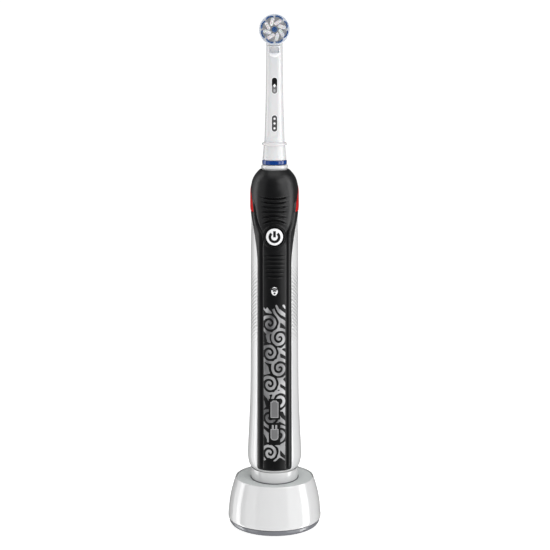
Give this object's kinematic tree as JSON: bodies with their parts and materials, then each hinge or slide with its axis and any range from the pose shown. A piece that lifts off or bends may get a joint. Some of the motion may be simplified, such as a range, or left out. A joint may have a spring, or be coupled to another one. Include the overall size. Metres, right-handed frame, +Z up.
{
  "type": "electric toothbrush on charger",
  "caption": "Oscillating electric toothbrush with a round brush head and rubber-gripped oval handle, standing on a round induction charger.",
  "frame": {"origin": "centre of the charger's underside, on the surface it stands on", "axes": "+Z up along the brush, -Y the front with the power button and the bristles, +X to the right seen from the front"},
  "size_m": [0.049, 0.049, 0.2663],
  "materials": {
    "white_gloss": "gloss moulded plastic",
    "white_satin": "satin moulded plastic",
    "black_grip": "soft-touch thermoplastic rubber",
    "black_gloss": "gloss",
    "plate_grey": "satin",
    "base_grey": "gloss",
    "seal_rubber": "matt",
    "red_lens": "translucent gloss",
    "clear_lens": "translucent satin",
    "ring_blue": "satin",
    "bristle_blue": "nylon bristles",
    "bristle_white": "nylon bristles",
    "steel": "turned",
    "brass": "machined",
    "copper_coil": "enamelled copper winding",
    "ferrite": "sintered",
    "frame_grey": "moulded",
    "board_green": "solder resist",
    "cell_wrap": "shrink wrap",
    "led_amber": "clear epoxy"
  },
  "bodies": {
    "charger": {"charger_shell": "white_gloss", "top_plate": "plate_grey", "seat_collar": "white_gloss", "charging_post": "white_gloss", "ferrite_core": "ferrite", "primary_coil": "copper_coil", "charger_board": "board_green", "base_plate": "base_grey", "foot_ring": "seal_rubber", "cord_gland": "seal_rubber"},
    "handle": {"handle_housing": "white_gloss", "front_grip": "black_grip", "rear_grip": "black_grip", "shoulder_cap": "black_grip", "light_ring": "red_lens", "neck_seal": "seal_rubber", "status_window": "clear_lens", "battery_window": "clear_lens", "charge_window": "clear_lens", "button_bezel": "black_gloss", "tact_switch": "frame_grey", "main_board": "board_green", "status_led": "led_amber", "battery_led": "led_amber", "charge_led": "led_amber", "chassis": "frame_grey", "battery_cell": "cell_wrap", "battery_contact_bottom": "brass", "battery_contact_top": "brass", "pressure_spring": "steel", "bottom_cap": "white_satin", "receiver_coil": "copper_coil", "bottom_seal": "seal_rubber"},
    "button": {"power_button": "white_satin"},
    "drive_unit": {"drive_frame": "white_satin", "motor_can": "steel", "motor_screw_left": "steel", "motor_screw_right": "steel", "neck_collar": "white_gloss", "shaft_seal": "seal_rubber", "lower_bush": "brass", "upper_bush": "brass", "crank_axle": "steel", "pivot_pin_left": "steel", "pivot_pin_right": "steel"},
    "motor_rotor": {"motor_shaft": "steel", "motor_pinion": "brass"},
    "crank": {"crank_gear": "brass"},
    "shaft": {"drive_shaft": "steel", "rocker_fork": "steel"},
    "head": {"head_tube": "white_gloss", "id_ring": "ring_blue", "disc_pin": "steel"},
    "head_rotor": {"head_sleeve": "white_satin", "tie_rod": "steel"},
    "disc": {"brush_disc": "white_gloss", "outer_tufts": "bristle_blue", "inner_tufts": "bristle_white", "centre_tuft": "bristle_blue"}
  },
  "joints": [
    {"name": "handle_lift", "type": "slide", "parent": "charger", "child": "handle", "axis": [0, 0, 1], "range_m": [0, 0.03]},
    {"name": "button_press", "type": "slide", "parent": "handle", "child": "button", "axis": [0, 1, 0], "range_m": [0, 0.0008], "stiffness_N_per_m": 600, "springref_m": -0.0005},
    {"name": "pressure_tilt", "type": "hinge", "parent": "handle", "child": "drive_unit", "pos_m": [0, 0, 0.155], "axis": [1, 0, 0], "range_deg": [-0.7, 0], "stiffness_Nm_per_rad": 4, "springref_deg": 2.86},
    {"name": "crank_spin", "type": "hinge", "parent": "drive_unit", "child": "crank", "pos_m": [0, 0.0046, 0.139], "axis": [0, 0, 1], "continuous": true},
    {"name": "motor_spin", "type": "hinge", "parent": "drive_unit", "child": "motor_rotor", "pos_m": [0, -0.001, 0.139], "axis": [0, 0, 1], "continuous": true},
    {"name": "shaft_swing", "type": "hinge", "parent": "drive_unit", "child": "shaft", "pos_m": [0, 0, 0.15], "axis": [0, 0, 1], "range_deg": [-20, 20]},
    {"name": "head_pull", "type": "slide", "parent": "drive_unit", "child": "head", "axis": [0, 0, 1], "range_m": [0, 0.03]},
    {"name": "sleeve_swing", "type": "hinge", "parent": "head", "child": "head_rotor", "pos_m": [0, 0, 0.21], "axis": [0, 0, 1], "range_deg": [-20, 20]},
    {"name": "disc_swing", "type": "hinge", "parent": "head", "child": "disc", "pos_m": [0, 0, 0.25874], "axis": [0, -1, 0], "range_deg": [-22.5, 22.5]}
  ],
  "couplings": [
    {"joint": "motor_spin", "follows": "crank_spin", "ratio": -3},
    {"joint": "sleeve_swing", "follows": "shaft_swing", "ratio": 1},
    {"joint": "disc_swing", "follows": "shaft_swing", "ratio": 1.125}
  ]
}
